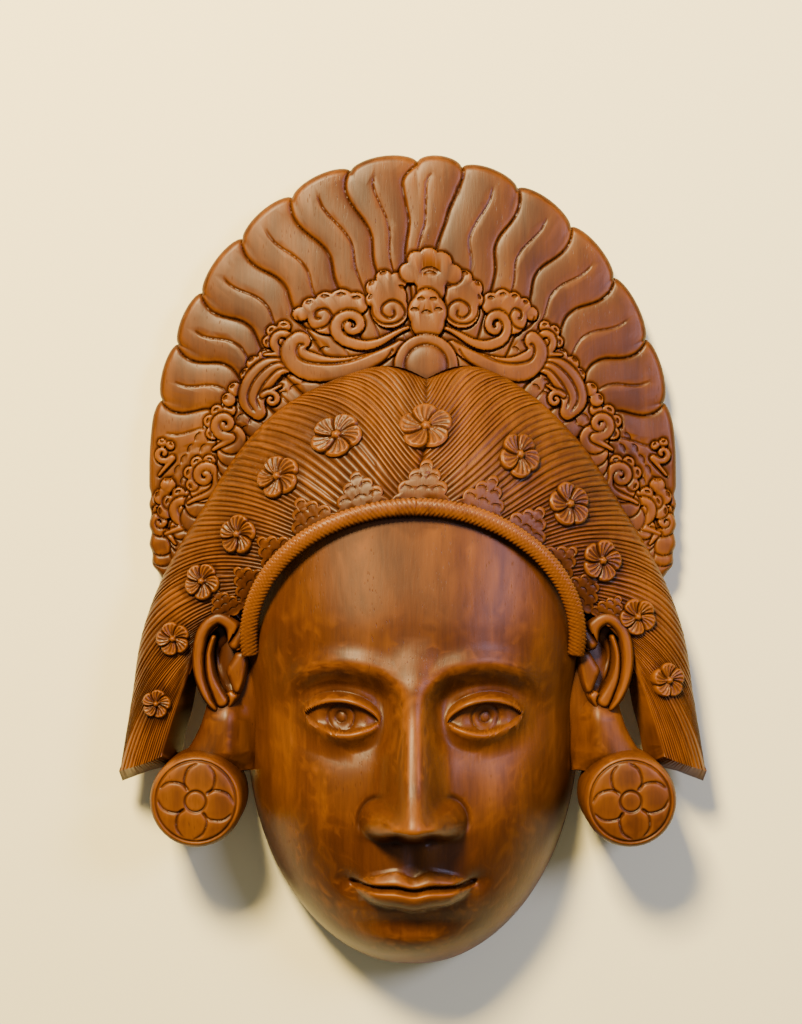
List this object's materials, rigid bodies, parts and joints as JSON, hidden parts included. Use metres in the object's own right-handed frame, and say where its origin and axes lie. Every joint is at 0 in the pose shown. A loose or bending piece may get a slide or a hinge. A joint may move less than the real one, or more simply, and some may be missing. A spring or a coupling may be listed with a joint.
{
  "type": "carved wooden mask",
  "caption": "Wall mask carved from one block of wood: calm face, combed headdress with rosettes, fan crest with scrollwork, round ear plugs, hollowed back.",
  "frame": {"origin": "under the middle of the mask's box, on the plane that its back lies on", "axes": "X across the face, +Y from chin to crest, +Z out through the front of the face; the mask lies on its back"},
  "size_m": [0.229, 0.3192, 0.0828],
  "materials": {
    "waxed_wood": "carved close-grained hardwood, stained amber brown and waxed to a soft gloss, darker in the cuts"
  },
  "bodies": {
    "root": {"mask": "waxed_wood"}
  },
  "joints": []
}
